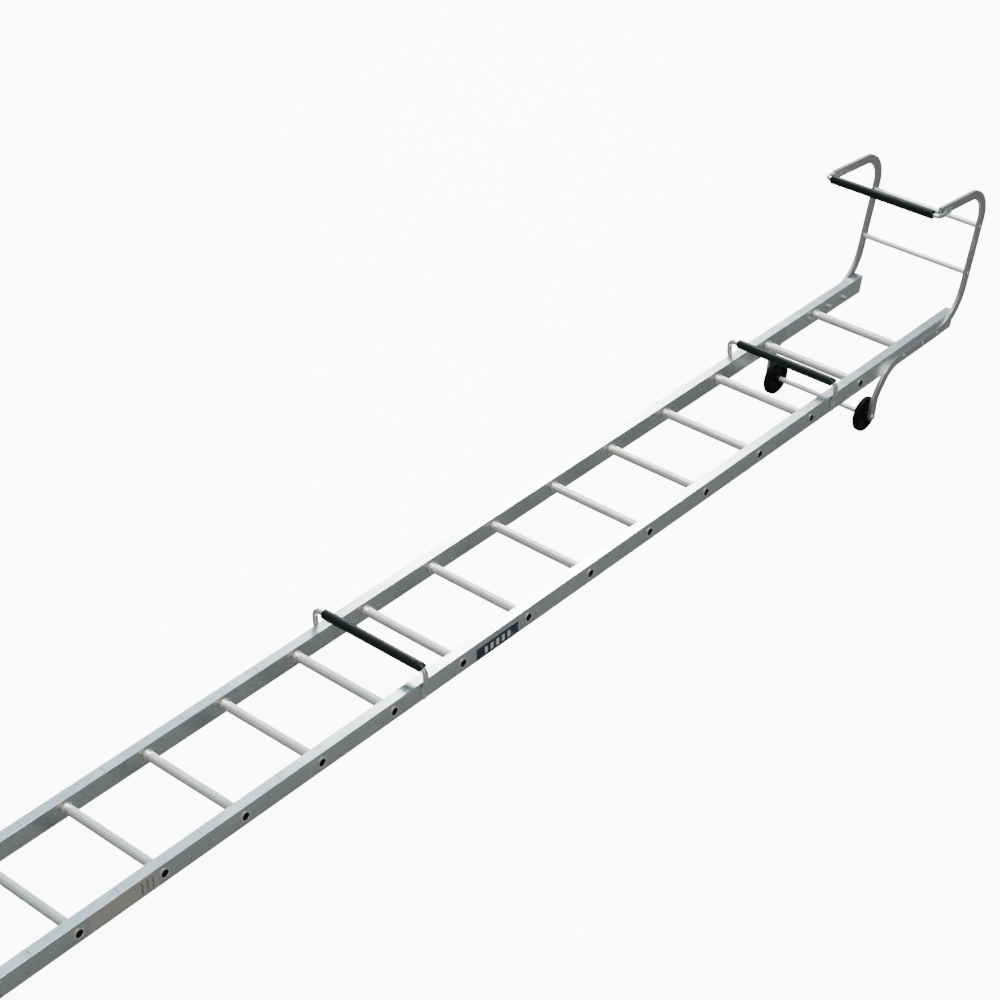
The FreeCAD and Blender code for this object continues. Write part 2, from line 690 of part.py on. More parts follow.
def add_hook(parts):
    """Hook bars, their bolts, the cross tubes and the padded bar at the tip."""
    add_pair(parts, "hook_bar", hook_bar())
    for name, z in zip(("cross_tube_lower", "cross_tube_upper"), cross_tube_heights):
        parts[name] = cross_tube(z)
    add_pair(parts, "hook_bolts", Part.makeCompound([hook_bolt(y, z) for y, z in hook_bolt_positions()]))
    add_pair(parts, "hook_nuts", Part.makeCompound([hook_nut(y, z) for y, z in hook_bolt_positions()]))

    # The tip bar is the same bent tube turned on its side: its legs run along the arms.
    flat_from = tip_leg_round + bar_flatten
    tube = bent_tube(hook_face, flat_from, tip_leg_length() - flat_from, tip_leg_round)
    tube.rotate(ORIGIN, X_AXIS, 90 - hook_arm_rise)
    bar, rivets = riveted(moved(tube, 0, tip_bar_reach, tip_bar_height),
                          hook_face + bar_strap_thickness, half_width, tip_rivet_places())
    parts["tip_bar"] = bar
    parts["tip_rivets"] = rivets
    parts["tip_sleeve"] = moved(sleeve(hook_face), 0, tip_bar_reach, tip_bar_height)


def add_wheels(parts):
    """The axle with everything on it, and a wheel at each end."""
    parts["axle_rod"] = axle()
    parts["axle_spacer"] = spacer()
    add_pair(parts, "axle_cap", axle_cap())
    add_pair(parts, "axle_washer", axle_washer())
    add_pair(parts, "tyre", moved(tyre(), wheel_middle(), axle_y, axle_z))
    add_pair(parts, "hub", moved(hub(), wheel_middle(), axle_y, axle_z))


def main():
    os.makedirs("parts", exist_ok=True)
    parts = {}
    add_ladder(parts)
    add_bearing_bars(parts)
    add_hook(parts)
    add_wheels(parts)
    limits = FreeCAD.BoundBox()
    for shape in parts.values():
        limits.add(shape.optimalBoundingBox(False))
    shift = V(-(limits.XMin + limits.XMax) / 2, -(limits.YMin + limits.YMax) / 2, -limits.ZMin)
    for name, shape in parts.items():
        shape.translate(shift)
        if not shape.isValid():
            print("not valid:", name)
        shape.exportStep(os.path.join("parts", name + ".step"))
    print("pieces:", len(parts))
    print("size: %.1f x %.1f x %.1f" % (limits.XLength, limits.YLength, limits.ZLength))
    print("moved by:", shift)


main()
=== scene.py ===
"""Looks of a single-section aluminium roof ladder with a ridge hook and two transport wheels."""
import json
import math

import bmesh
import bpy
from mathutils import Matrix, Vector

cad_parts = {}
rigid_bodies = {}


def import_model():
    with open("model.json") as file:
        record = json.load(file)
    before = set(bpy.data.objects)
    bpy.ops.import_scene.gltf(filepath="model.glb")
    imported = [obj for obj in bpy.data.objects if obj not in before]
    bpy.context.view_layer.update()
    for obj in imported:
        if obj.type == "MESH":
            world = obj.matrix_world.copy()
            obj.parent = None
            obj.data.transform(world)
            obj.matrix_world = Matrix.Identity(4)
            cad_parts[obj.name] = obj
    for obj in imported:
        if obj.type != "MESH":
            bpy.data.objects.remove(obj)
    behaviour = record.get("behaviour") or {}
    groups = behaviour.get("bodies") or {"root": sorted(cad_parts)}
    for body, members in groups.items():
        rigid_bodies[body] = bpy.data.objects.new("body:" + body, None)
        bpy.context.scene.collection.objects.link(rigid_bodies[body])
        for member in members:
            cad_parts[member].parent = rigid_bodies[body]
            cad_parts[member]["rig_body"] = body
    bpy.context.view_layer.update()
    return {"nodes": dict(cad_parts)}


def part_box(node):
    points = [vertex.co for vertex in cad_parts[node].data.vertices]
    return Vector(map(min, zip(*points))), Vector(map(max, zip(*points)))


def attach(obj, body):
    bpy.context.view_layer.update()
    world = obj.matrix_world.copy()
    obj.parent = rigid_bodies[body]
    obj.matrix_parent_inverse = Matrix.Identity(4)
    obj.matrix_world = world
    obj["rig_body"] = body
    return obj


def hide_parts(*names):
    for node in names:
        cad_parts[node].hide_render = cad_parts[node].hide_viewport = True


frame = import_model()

# ---- Camera ----
# Stands to the right of the foot end and looks down along the ladder at its hook.
# It is placed from the middle of the top rung: across, up and back along its own axes.
top_rung_low, top_rung_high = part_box("rung_01")
top_rung_middle = (top_rung_low + top_rung_high) / 2
view_azimuth = math.radians(41.43)
view_elevation = math.radians(34.32)
view_roll = math.radians(-0.52)
camera_back = Vector((math.sin(view_azimuth) * math.cos(view_elevation),
                      -math.cos(view_azimuth) * math.cos(view_elevation),
                      math.sin(view_elevation)))
level_right = Vector((math.cos(view_azimuth), math.sin(view_azimuth), 0))
level_up = camera_back.cross(level_right)
camera_right = level_right * math.cos(view_roll) + level_up * math.sin(view_roll)
camera_up = camera_back.cross(camera_right)
camera = bpy.data.objects.new("camera", bpy.data.cameras.new("camera"))
bpy.context.scene.collection.objects.link(camera)
camera.data.sensor_width = 36
camera.data.lens = 86.95
camera.data.shift_y = 0.002
camera.data.clip_end = 500
camera_left, camera_down, camera_distance = 1.1041, 0.5313, 7.4752
camera.location = (top_rung_middle - camera_right * camera_left - camera_up * camera_down
                   + camera_back * camera_distance)
camera.rotation_mode = "QUATERNION"
camera_turn = camera_back.to_track_quat("Z", "Y").to_matrix()
camera_turn.col[0], camera_turn.col[1], camera_turn.col[2] = camera_right, camera_up, camera_back
camera.rotation_quaternion = camera_turn.to_quaternion()
bpy.context.scene.camera = camera

# ---- Floor and light ----
# The floor slopes from the wheels to the feet, as the ladder stands on both. Floor and sky are pale to look
# at but give back less light, so undersides stay dark. A soft light stands over the far side, with one
# overhead and a gentle fill from the near side.
wheel_low, wheel_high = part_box("tyre_right")
wheel_middle_y = (wheel_low.y + wheel_high.y) / 2
foot_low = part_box("foot_right")[0]
floor_slope = math.atan2(foot_low.z - wheel_low.z, wheel_middle_y - foot_low.y)
floor_mesh = bpy.data.meshes.new("floor")
floor_reach = 200.0
floor_gap = 0.0015
floor_corners = []
for x, y in ((-1, -1), (1, -1), (1, 1), (-1, 1)):
    drop = math.tan(floor_slope) * (y * floor_reach - wheel_middle_y)
    floor_corners.append((x * floor_reach, y * floor_reach, -drop - floor_gap))
floor_mesh.from_pydata(floor_corners, [], [(0, 1, 2, 3)])
floor = bpy.data.objects.new("floor", floor_mesh)
bpy.context.scene.collection.objects.link(floor)

paper = bpy.data.materials.new("pale_paper")
paper.use_nodes = True
paper_nodes = paper.node_tree.nodes
paper_links = paper.node_tree.links
paper_shader = paper_nodes["Principled BSDF"]
paper_shader.inputs["Roughness"].default_value = 0.95
paper_shader.inputs["Specular IOR Level"].default_value = 0.0
paper_path = paper_nodes.new("ShaderNodeLightPath")
paper_tone = paper_nodes.new("ShaderNodeMix")
paper_tone.data_type = "RGBA"
paper_tone.inputs[6].default_value = (0.150, 0.152, 0.146, 1)
paper_tone.inputs[7].default_value = (0.97, 0.97, 0.97, 1)
paper_links.new(paper_path.outputs["Is Camera Ray"], paper_tone.inputs[0])
paper_links.new(paper_tone.outputs[2], paper_shader.inputs["Base Color"])
paper_glow = paper_nodes.new("ShaderNodeMath")
paper_glow.operation = "MULTIPLY"
paper_glow.inputs[1].default_value = 9.0
paper_links.new(paper_path.outputs["Is Camera Ray"], paper_glow.inputs[0])
paper_links.new(paper_glow.outputs[0], paper_shader.inputs["Emission Strength"])
floor_mesh.materials.append(paper)

world = bpy.data.worlds.new("studio")
bpy.context.scene.world = world
world.use_nodes = True
world_nodes = world.node_tree.nodes
world_links = world.node_tree.links
sky_way = world_nodes.new("ShaderNodeTexCoord")
sky_lean = world_nodes.new("ShaderNodeVectorMath")
sky_lean.operation = "DOT_PRODUCT"
sky_lean.inputs[1].default_value = (-0.62, 0.30, 0.725)
sky_ramp = world_nodes.new("ShaderNodeValToRGB")
world_links.new(sky_way.outputs["Generated"], sky_lean.inputs[0])
world_links.new(sky_lean.outputs["Value"], sky_ramp.inputs["Fac"])
sky_path = world_nodes.new("ShaderNodeLightPath")
sky_seen = world_nodes.new("ShaderNodeMix")
sky_seen.data_type = "RGBA"
sky_seen.inputs[7].default_value = (10.0, 10.0, 10.0, 1)
world_links.new(sky_path.outputs["Is Camera Ray"], sky_seen.inputs[0])
world_links.new(sky_ramp.outputs["Color"], sky_seen.inputs[6])
world_links.new(sky_seen.outputs[2], world_nodes["Background"].inputs["Color"])
sky_ramp.color_ramp.elements[0].position = 0.0
sky_ramp.color_ramp.elements[0].color = (0.20, 0.20, 0.195, 1)
sky_ramp.color_ramp.elements[1].position = 0.82
sky_ramp.color_ramp.elements[1].color = (0.62, 0.80, 0.92, 1)
sky_ramp.color_ramp.elements.new(0.97).color = (1.10, 1.52, 1.74, 1)
world_nodes["Background"].inputs["Strength"].default_value = 1.0


def soft_light(name, way, distance, size, watts, tint):
    """A round lamp at a distance along a direction from the middle of the ladder, facing it."""
    lamp = bpy.data.objects.new(name, bpy.data.lights.new(name, "AREA"))
    bpy.context.scene.collection.objects.link(lamp)
    lamp.data.shape = "DISK"
    lamp.data.size = size
    lamp.data.energy = watts
    lamp.data.color = tint
    lamp.location = Vector(way).normalized() * distance
    lamp.rotation_mode = "QUATERNION"
    lamp.rotation_quaternion = Vector(way).to_track_quat("Z", "Y")
    lamp.visible_camera = False


soft_light("far_soft_light", (-0.472, 0.648, 0.598), 7.2, 1.8, 270, (1.0, 1.0, 1.0))
soft_light("overhead_soft_light", (0.1, -0.1, 1.0), 6.5, 5.0, 520, (1.0, 1.0, 0.99))
soft_light("near_fill_light", (0.8, -0.7, 0.5), 8.0, 4.0, 90, (1.0, 0.98, 0.95))

# ---- Stiles ----
# Two closed box sections of extruded aluminium, left mill finish: fine die lines along their length,
# scuffs from handling, a little dust on the upper flange and a faint setting-out mark between rungs.
MM = 0.001


def add_node(tree, kind, **settings):
    made = tree.nodes.new(kind)
    for key, value in settings.items():
        setattr(made, key, value)
    return made


def new_group(name, inputs, outputs):
    """An empty shader group with named sockets; returns it with its two end nodes."""
    group = bpy.data.node_groups.new(name, "ShaderNodeTree")
    for label, kind in inputs:
        group.interface.new_socket(name=label, in_out="INPUT", socket_type=kind)
    for label, kind in outputs:
        group.interface.new_socket(name=label, in_out="OUTPUT", socket_type=kind)
    return group, group.nodes.new("NodeGroupInput"), group.nodes.new("NodeGroupOutput")


VECTOR, NUMBER = "NodeSocketVector", "NodeSocketFloat"

grain_lines, lines_in, lines_out = new_group(
    "grain_lines", [("Position", VECTOR), ("Fineness", VECTOR)], [("Height", NUMBER), ("Tone", NUMBER)])
stretched = add_node(grain_lines, "ShaderNodeVectorMath", operation="MULTIPLY")
grain_lines.links.new(lines_in.outputs["Position"], stretched.inputs[0])
grain_lines.links.new(lines_in.outputs["Fineness"], stretched.inputs[1])
for label, scale, detail in (("Height", 1.0, 4.0), ("Tone", 0.23, 3.0)):
    noise = add_node(grain_lines, "ShaderNodeTexNoise")
    noise.inputs["Scale"].default_value = scale
    noise.inputs["Detail"].default_value = detail
    noise.inputs["Roughness"].default_value = 0.62
    grain_lines.links.new(stretched.outputs[0], noise.inputs["Vector"])
    grain_lines.links.new(noise.outputs["Fac"], lines_out.inputs[label])

handling_scuffs, scuffs_in, scuffs_out = new_group(
    "handling_scuffs", [("Position", VECTOR), ("Size", NUMBER), ("Amount", NUMBER)], [("Mask", NUMBER)])
patches = add_node(handling_scuffs, "ShaderNodeTexNoise")
patches.inputs["Detail"].default_value = 5.0
patches.inputs["Roughness"].default_value = 0.68
handling_scuffs.links.new(scuffs_in.outputs["Position"], patches.inputs["Vector"])
handling_scuffs.links.new(scuffs_in.outputs["Size"], patches.inputs["Scale"])
edge_of_patch = add_node(handling_scuffs, "ShaderNodeMapRange", interpolation_type="SMOOTHSTEP")
edge_of_patch.inputs["From Min"].default_value = 0.52
edge_of_patch.inputs["From Max"].default_value = 0.68
handling_scuffs.links.new(patches.outputs["Fac"], edge_of_patch.inputs["Value"])
scuff_share = add_node(handling_scuffs, "ShaderNodeMath", operation="MULTIPLY")
handling_scuffs.links.new(edge_of_patch.outputs["Result"], scuff_share.inputs[0])
handling_scuffs.links.new(scuffs_in.outputs["Amount"], scuff_share.inputs[1])
handling_scuffs.links.new(scuff_share.outputs[0], scuffs_out.inputs["Mask"])

settled_dust, dust_in, dust_out = new_group(
    "settled_dust", [("Position", VECTOR), ("Amount", NUMBER)], [("Mask", NUMBER)])
facing = add_node(settled_dust, "ShaderNodeNewGeometry")
facing_parts = add_node(settled_dust, "ShaderNodeSeparateXYZ")
settled_dust.links.new(facing.outputs["Normal"], facing_parts.inputs[0])
upward = add_node(settled_dust, "ShaderNodeMapRange", interpolation_type="SMOOTHSTEP")
upward.inputs["From Min"].default_value = 0.35
upward.inputs["From Max"].default_value = 0.95
settled_dust.links.new(facing_parts.outputs["Z"], upward.inputs["Value"])
specks = add_node(settled_dust, "ShaderNodeTexNoise")
specks.inputs["Scale"].default_value = 60.0
specks.inputs["Detail"].default_value = 6.0
settled_dust.links.new(dust_in.outputs["Position"], specks.inputs["Vector"])
dust_cover = add_node(settled_dust, "ShaderNodeMath", operation="MULTIPLY")
settled_dust.links.new(upward.outputs["Result"], dust_cover.inputs[0])
settled_dust.links.new(specks.outputs["Fac"], dust_cover.inputs[1])
dust_share = add_node(settled_dust, "ShaderNodeMath", operation="MULTIPLY")
settled_dust.links.new(dust_cover.outputs[0], dust_share.inputs[0])
settled_dust.links.new(dust_in.outputs["Amount"], dust_share.inputs[1])
settled_dust.links.new(dust_share.outputs[0], dust_out.inputs["Mask"])


def laid_over(tree, under, colour, share):
    """Mixes a plain colour over a socket's colour by a share, and returns the mix's colour socket."""
    mix = add_node(tree, "ShaderNodeMix", data_type="RGBA")
    mix.inputs[7].default_value = (*colour, 1)
    tree.links.new(share, mix.inputs[0])
    tree.links.new(under, mix.inputs[6])
    return mix.outputs[2]


def surface(name, metallic, light, dark, fineness, rough, depth_mm, scuffs, dust, shine=0.5,
            hollow_shade_tone=None):
    """A worn surface: fine lines, patches of scuffing and dust over two tones of one colour.

    fineness is how fine the lines are along each axis, rough the lowest and highest roughness, scuffs how
    fine the patches are and their amount, dust the amount of dust and its colour, shine the mirror
    strength if not metal, and hollow_shade_tone the darker colour painted as shade where the mesh's "inner"
    attribute is 1.
    """
    material = bpy.data.materials.new(name)
    material.use_nodes = True
    tree = material.node_tree
    shader = tree.nodes["Principled BSDF"]
    shader.inputs["Metallic"].default_value = metallic
    shader.inputs["Specular IOR Level"].default_value = shine
    place = add_node(tree, "ShaderNodeTexCoord")
    lines = add_node(tree, "ShaderNodeGroup", node_tree=grain_lines)
    lines.inputs["Fineness"].default_value = fineness
    worn = add_node(tree, "ShaderNodeGroup", node_tree=handling_scuffs)
    worn.inputs["Size"].default_value = scuffs[0]
    worn.inputs["Amount"].default_value = scuffs[1]
    dusty = add_node(tree, "ShaderNodeGroup", node_tree=settled_dust)
    dusty.inputs["Amount"].default_value = dust[0]
    for group in (lines, worn, dusty):
        tree.links.new(place.outputs["Object"], group.inputs["Position"])
    tones = add_node(tree, "ShaderNodeMix", data_type="RGBA")
    tones.inputs[6].default_value = (*light, 1)
    tones.inputs[7].default_value = (*dark, 1)
    tree.links.new(lines.outputs["Tone"], tones.inputs[0])
    bare_tone = [0.5 * (part + 1.0) if metallic > 0.5 else part * 2.2 for part in dark]
    colour = laid_over(tree, tones.outputs[2], bare_tone, worn.outputs["Mask"])
    colour = laid_over(tree, colour, dust[1], dusty.outputs["Mask"])
    # Painted shade: a darker colour laid over hollows wherever the mesh's "inner" attribute is set.
    if hollow_shade_tone:
        inner = add_node(tree, "ShaderNodeAttribute", attribute_name="inner")
        colour = laid_over(tree, colour, hollow_shade_tone, inner.outputs["Fac"])
    tree.links.new(colour, shader.inputs["Base Color"])
    sheen = add_node(tree, "ShaderNodeMapRange")
    sheen.inputs["From Min"].default_value = 0.3
    sheen.inputs["From Max"].default_value = 0.7
    sheen.inputs["To Min"].default_value = rough[0]
    sheen.inputs["To Max"].default_value = rough[1]
    tree.links.new(lines.outputs["Height"], sheen.inputs["Value"])
    duller = add_node(tree, "ShaderNodeMath", operation="MULTIPLY_ADD", use_clamp=True)
    duller.inputs[1].default_value = 0.16
    tree.links.new(worn.outputs["Mask"], duller.inputs[0])
    tree.links.new(sheen.outputs["Result"], duller.inputs[2])
    tree.links.new(duller.outputs[0], shader.inputs["Roughness"])
    relief = add_node(tree, "ShaderNodeBump")
    relief.inputs["Strength"].default_value = 0.35
    relief.inputs["Distance"].default_value = depth_mm * MM
    tree.links.new(lines.outputs["Height"], relief.inputs["Height"])
    tree.links.new(relief.outputs["Normal"], shader.inputs["Normal"])
    return material


def wear(piece, material):
    """Puts one material on a whole piece."""
    if not piece.material_slots:
        piece.data.materials.append(material)
    for part in piece.material_slots:
        part.material = material


pale_dust = (0.62, 0.61, 0.58)
mill_aluminium = surface("mill_aluminium", 1.0, (0.64, 0.67, 0.668), (0.595, 0.625, 0.628),
                         (700, 5, 700), (0.25, 0.29), 0.01, (9.0, 0.35), (0.10, pale_dust))


def shade_smooth(mesh, sharp_degrees):
    """Shades a mesh smooth, apart from edges sharper than the angle."""
    for face in mesh.polygons:
        face.use_smooth = True
    mesh.set_sharp_from_angle(angle=math.radians(sharp_degrees))


def finished_copy(node, name, edge_mm, material):
    """A copy of a CAD node with its triangles joined, its long edges broken and its curves shaded smooth."""
    source = frame["nodes"][node]
    mesh = source.data.copy()
    work = bmesh.new()
    work.from_mesh(mesh)
    bmesh.ops.remove_doubles(work, verts=work.verts, dist=0.00001)
    bmesh.ops.dissolve_degenerate(work, dist=0.000001, edges=work.edges)
    bmesh.ops.dissolve_limit(work, angle_limit=math.radians(0.4), verts=work.verts, edges=work.edges)
    work.to_mesh(mesh)
    work.free()
    piece = bpy.data.objects.new(name, mesh)
    bpy.context.scene.collection.objects.link(piece)
    mesh.materials.clear()
    mesh.materials.append(material)
    shade_smooth(mesh, 32)
    if edge_mm:
        rounding = piece.modifiers.new("broken_edges", "BEVEL")
        rounding.width = edge_mm * MM
        rounding.segments = 2
        rounding.limit_method = "ANGLE"
        rounding.angle_limit = math.radians(50)
        rounding.use_clamp_overlap = True
        rounding.harden_normals = True
    flats = piece.modifiers.new("flats_stay_flat", "WEIGHTED_NORMAL")
    flats.mode = "FACE_AREA"
    flats.weight = 100
    flats.keep_sharp = True
    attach(piece, source["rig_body"])
    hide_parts(node)
    return piece


def add_setting_out_marks(material, first_y, pitch, stile_x, reach, half_width):
    """Faint lines across the upper flanges, one midway between each two rungs."""
    tree = material.node_tree
    shader = tree.nodes["Principled BSDF"]
    place = add_node(tree, "ShaderNodeTexCoord")
    parts = add_node(tree, "ShaderNodeSeparateXYZ")
    tree.links.new(place.outputs["Object"], parts.inputs[0])
    along = add_node(tree, "ShaderNodeMath", operation="SUBTRACT")
    along.inputs[1].default_value = first_y
    wave = add_node(tree, "ShaderNodeMath", operation="PINGPONG")
    wave.inputs[1].default_value = pitch / 2
    near = add_node(tree, "ShaderNodeMath", operation="LESS_THAN")
    near.inputs[1].default_value = half_width
    tree.links.new(parts.outputs["Y"], along.inputs[0])
    tree.links.new(along.outputs[0], wave.inputs[0])
    tree.links.new(wave.outputs[0], near.inputs[0])
    either_side = add_node(tree, "ShaderNodeMath", operation="ABSOLUTE")
    across = add_node(tree, "ShaderNodeMath", operation="COMPARE")
    across.inputs[1].default_value = stile_x
    across.inputs[2].default_value = reach
    tree.links.new(parts.outputs["X"], either_side.inputs[0])
    tree.links.new(either_side.outputs[0], across.inputs[0])
    facing = add_node(tree, "ShaderNodeNewGeometry")
    facing_parts = add_node(tree, "ShaderNodeSeparateXYZ")
    upper = add_node(tree, "ShaderNodeMath", operation="GREATER_THAN")
    upper.inputs[1].default_value = 0.9
    tree.links.new(facing.outputs["Normal"], facing_parts.inputs[0])
    tree.links.new(facing_parts.outputs["Z"], upper.inputs[0])
    line = add_node(tree, "ShaderNodeMath", operation="MULTIPLY")
    seen = add_node(tree, "ShaderNodeMath", operation="MULTIPLY")
    tree.links.new(near.outputs[0], line.inputs[0])
    tree.links.new(across.outputs[0], line.inputs[1])
    tree.links.new(line.outputs[0], seen.inputs[0])
    tree.links.new(upper.outputs[0], seen.inputs[1])
    unmarked = shader.inputs["Base Color"].links[0].from_socket
    marked = laid_over(tree, unmarked, (0.07, 0.08, 0.085), seen.outputs[0])
    tree.links.new(marked, shader.inputs["Base Color"])


rung_count_below_top = 16
rung_low, rung_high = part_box("rung_02")
last_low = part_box("rung_%02d" % (rung_count_below_top + 1))[0]
rung_spacing = (rung_low.y - last_low.y) / (rung_count_below_top - 1)
inner_web, outer_web = [corner.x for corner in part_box("stile_right")]
mark_reach = 9 * MM
mark_half_width = 0.9 * MM
add_setting_out_marks(mill_aluminium, (rung_low.y + rung_high.y) / 2 + rung_spacing / 2, rung_spacing,
                      (inner_web + outer_web) / 2, mark_reach, mark_half_width)
for side in ("right", "left"):
    finished_copy("stile_" + side, "stile_finished_" + side, 0, mill_aluminium)

# ---- Rungs ----
# Round aluminium tubes with fine lengthwise ribs for grip, swaged tight at both webs: a cone and bead on
# the inside and a rolled edge outside. The top one has no rolled edge, as the hook bars lie over it.
rib_count = 16
steps_per_rib = 6
rib_top = 12.9 * MM
rib_depth = 1.1 * MM
neck = 12.4 * MM
bead = (rung_high.z - rung_low.z) / 2
rolled = 15.6 * MM
bore = 10.5 * MM
# How much of the bore's painted shade is also painted down into the grooves between ribs.
groove_painted_shade = 0.42


def rung_outline(end_x, rolled_edge):
    """(x, radius, share of rib) from the middle of the rung out to its end and back inside the bore."""
    line = [(0.0, rib_top, 1.0), (inner_web - 19 * MM, rib_top, 1.0),
            (inner_web - 15 * MM, rib_top + 0.3 * MM, 0.8), (inner_web - 11 * MM, rib_top + 0.7 * MM, 0.45),
            (inner_web - 7.5 * MM, rib_top + 1.5 * MM, 0.15),
            (inner_web - 5 * MM, bead - 2.0 * MM, 0), (inner_web - 4 * MM, bead - 0.7 * MM, 0),
            (inner_web - 3 * MM, bead, 0), (inner_web - 0.9 * MM, bead, 0),
            (inner_web - 0.1 * MM, bead - 0.8 * MM, 0), (inner_web, neck, 0), (outer_web, neck, 0)]
    if rolled_edge:
        line += [(outer_web + 0.05 * MM, rolled - 0.8 * MM, 0), (outer_web + 0.6 * MM, rolled, 0),
                 (outer_web + 1.3 * MM, rolled - 0.1 * MM, 0), (end_x - 0.1 * MM, rolled - 1.1 * MM, 0),
                 (end_x, neck, 0)]
    line += [(end_x, bore + 0.7 * MM, 0), (end_x - 0.7 * MM, bore, 0), (0.0, bore, 0)]
    return line


def join_rings(work, rings):
    """Skins rings of equal count one to the next, and the last back to the first."""
    for here, there in zip(rings, rings[1:] + rings[:1]):
        for index in range(len(here)):
            after = (index + 1) % len(here)
            work.faces.new((here[index], there[index], there[after], here[after]))


def rung_mesh(name, end_x, rolled_edge):
    """One rung about the X axis, as a closed tube."""
    half = rung_outline(end_x, rolled_edge)
    rings = half[:-1] + [(-x, r, rib) for x, r, rib in reversed(half[1:-1])]
    work = bmesh.new()
    around = rib_count * steps_per_rib
    groove = [1 - math.sin(math.pi * (index % steps_per_rib) / steps_per_rib) for index in range(around)]
    made = []
    for x, radius, rib in rings:
        ring = []
        for index in range(around):
            angle = 2 * math.pi * index / around
            reach = radius - rib * rib_depth * groove[index]
            ring.append(work.verts.new((x, reach * math.cos(angle), reach * math.sin(angle))))
        made.append(ring)
    join_rings(work, made)
    bmesh.ops.recalc_face_normals(work, faces=work.faces)
    mesh = bpy.data.meshes.new(name)
    work.to_mesh(mesh)
    work.free()
    # 1 in the bore, and part of that down in the grooves between ribs: where it is set, the colour is
    # darkened as painted shade.
    inner = mesh.attributes.new("inner", "FLOAT", "POINT")
    inner.data.foreach_set("value", [1.0 if radius <= bore else groove_painted_shade * rib * share
                                     for x, radius, rib in rings for share in groove])
    shade_smooth(mesh, 40)
    return mesh


def new_tree(name, sockets):
    """An empty Geometry Nodes tree with a geometry input and output and the named inputs."""
    tree = bpy.data.node_groups.new(name, "GeometryNodeTree")
    tree.interface.new_socket(name="Geometry", in_out="INPUT", socket_type="NodeSocketGeometry")
    tree.interface.new_socket(name="Geometry", in_out="OUTPUT", socket_type="NodeSocketGeometry")
    for label, kind in sockets:
        tree.interface.new_socket(name=label, in_out="INPUT", socket_type=kind)
    return tree, tree.nodes.new("NodeGroupInput"), tree.nodes.new("NodeGroupOutput")


def grown(name, mesh, tree, values):
    """Runs a tree on a mesh and returns the result as a plain piece at the origin."""
    seed_piece = bpy.data.objects.new(name + ".seed", mesh)
    bpy.context.scene.collection.objects.link(seed_piece)
    modifier = seed_piece.modifiers.new("grow", "NODES")
    modifier.node_group = tree
    for item in tree.interface.items_tree:
        if item.item_type == "SOCKET" and item.in_out == "INPUT" and item.name in values:
            modifier[item.identifier] = values[item.name]
    bpy.context.view_layer.update()
    evaluated = seed_piece.evaluated_get(bpy.context.evaluated_depsgraph_get())
    plain = bpy.data.meshes.new_from_object(evaluated)
    piece = bpy.data.objects.new(name, plain)
    bpy.context.scene.collection.objects.link(piece)
    seed_piece.modifiers.remove(modifier)
    bpy.data.objects.remove(seed_piece)
    return piece


rung_row, row_in, row_out = new_tree("rung_row", [
    ("Count", "NodeSocketInt"), ("First", VECTOR), ("Step", VECTOR), ("Turn", NUMBER),
    ("Seed", "NodeSocketInt"), ("Material", "NodeSocketMaterial")])
row_line = add_node(rung_row, "GeometryNodeMeshLine", mode="OFFSET")
row_copies = add_node(rung_row, "GeometryNodeInstanceOnPoints")
row_turn = add_node(rung_row, "FunctionNodeRandomValue", data_type="FLOAT")
row_axis = add_node(rung_row, "ShaderNodeCombineXYZ")
row_real = add_node(rung_row, "GeometryNodeRealizeInstances")
row_coat = add_node(rung_row, "GeometryNodeSetMaterial")
rung_row.links.new(row_in.outputs["Count"], row_line.inputs["Count"])
rung_row.links.new(row_in.outputs["First"], row_line.inputs["Start Location"])
rung_row.links.new(row_in.outputs["Step"], row_line.inputs["Offset"])
rung_row.links.new(row_line.outputs["Mesh"], row_copies.inputs["Points"])
rung_row.links.new(row_in.outputs["Geometry"], row_copies.inputs["Instance"])
rung_row.links.new(row_in.outputs["Turn"], row_turn.inputs[3])
rung_row.links.new(row_in.outputs["Seed"], row_turn.inputs["Seed"])
rung_row.links.new(row_turn.outputs[1], row_axis.inputs["X"])
rung_row.links.new(row_axis.outputs[0], row_copies.inputs["Rotation"])
rung_row.links.new(row_copies.outputs[0], row_real.inputs[0])
rung_row.links.new(row_real.outputs[0], row_coat.inputs["Geometry"])
rung_row.links.new(row_in.outputs["Material"], row_coat.inputs["Material"])
rung_row.links.new(row_coat.outputs[0], row_out.inputs[0])

# The inner tone darkens the bore and the grooves between ribs. It is painted shade, not the tube's own
# colour.
rung_aluminium = surface("rung_aluminium", 1.0, (0.95, 0.90, 0.82), (0.80, 0.75, 0.675),
                         (6, 420, 420), (0.26, 0.38), 0.06, (16.0, 0.40), (0.04, pale_dust),
                         hollow_shade_tone=(0.50, 0.46, 0.40))
rung_middle = (rung_low + rung_high) / 2
rungs = grown("rungs", rung_mesh("rung", rung_high.x, True), rung_row, {
    "Count": rung_count_below_top, "First": (0, rung_middle.y, rung_middle.z),
    "Step": (0, -rung_spacing, 0), "Turn": 2 * math.pi, "Seed": 5, "Material": rung_aluminium})
top_rung = grown("top_rung", rung_mesh("top_rung_tube", top_rung_high.x, False), rung_row, {
    "Count": 1, "First": (0, top_rung_middle.y, top_rung_middle.z),
    "Step": (0, 0, 0), "Turn": 0.0, "Seed": 5, "Material": rung_aluminium})
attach(rungs, "ladder")
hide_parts(*["rung_%02d" % (number + 2) for number in range(rung_count_below_top)])
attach(top_rung, "ladder")
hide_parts("rung_01")

